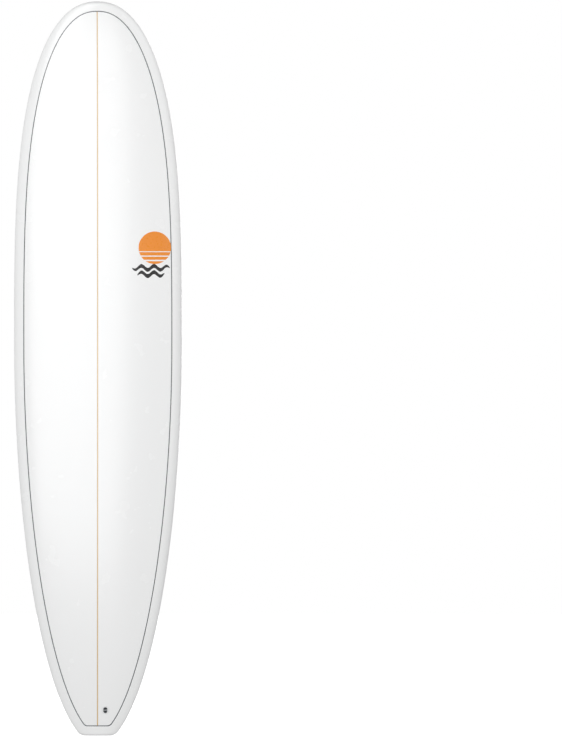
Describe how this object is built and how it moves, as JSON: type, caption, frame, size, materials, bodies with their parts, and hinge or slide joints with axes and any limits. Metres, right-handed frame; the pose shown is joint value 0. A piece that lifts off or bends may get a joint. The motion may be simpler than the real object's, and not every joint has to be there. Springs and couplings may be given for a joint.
{
  "type": "longboard surfboard",
  "caption": "Longboard surfboard with a rounded nose, squash tail, dark pinline, single-slot fin boxes with grub screws and a leash plug.",
  "frame": {"origin": "on the tail block's flat end, where the centreline meets the rails' widest line", "axes": "+Z from the tail to the nose, deck facing -Y, bottom and fin boxes facing +Y, +X to the right of someone looking at the deck"},
  "size_m": [0.5588, 0.1569, 2.4379],
  "materials": {
    "foam": "shaped foam",
    "timber": "ply strip",
    "laminate": "polished glass and resin",
    "pinline_paint": "dark slate line under gloss",
    "stripe_paint": "thin tan line under gloss",
    "moulded_box": "moulded composite, sanded flush",
    "resin": "cast resin with fibre",
    "stainless": "machined stainless steel",
    "cup_plastic": "moulded",
    "orange_print": "printed under gloss",
    "black_print": "printed under gloss",
    "grey_print": "printed under gloss"
  },
  "bodies": {
    "board": {"foam_core_left": "foam", "foam_core_right": "foam", "stringer": "timber", "deck_skin_left": "laminate", "deck_skin_right": "laminate", "bottom_skin": "laminate", "pinline": "pinline_paint", "center_stripe": "stripe_paint", "fin_box_left": "moulded_box", "fin_box_right": "moulded_box", "fin_box_center": "moulded_box", "fin_box_bed_left": "resin", "fin_box_bed_right": "resin", "fin_box_bed_center": "resin", "leash_cup": "cup_plastic", "leash_bar": "stainless", "leash_cup_bed": "resin", "deck_mark_sun": "orange_print", "deck_mark_waves": "black_print", "bottom_mark_sun": "orange_print", "bottom_mark_waves": "black_print", "bottom_size_dashes": "grey_print"},
    "screw_left": {"fin_screw_left": "stainless"},
    "screw_right": {"fin_screw_right": "stainless"},
    "screw_center": {"fin_screw_center": "stainless"}
  },
  "joints": [
    {"name": "screw_travel_left", "type": "slide", "parent": "board", "child": "screw_left", "axis": [0, -0.9964, 0.085], "range_m": [-0.003, 0.004]},
    {"name": "screw_travel_right", "type": "slide", "parent": "board", "child": "screw_right", "axis": [0, -0.9964, 0.085], "range_m": [-0.003, 0.004]},
    {"name": "screw_travel_center", "type": "slide", "parent": "board", "child": "screw_center", "axis": [0, -0.9936, 0.1126], "range_m": [-0.003, 0.004]}
  ]
}
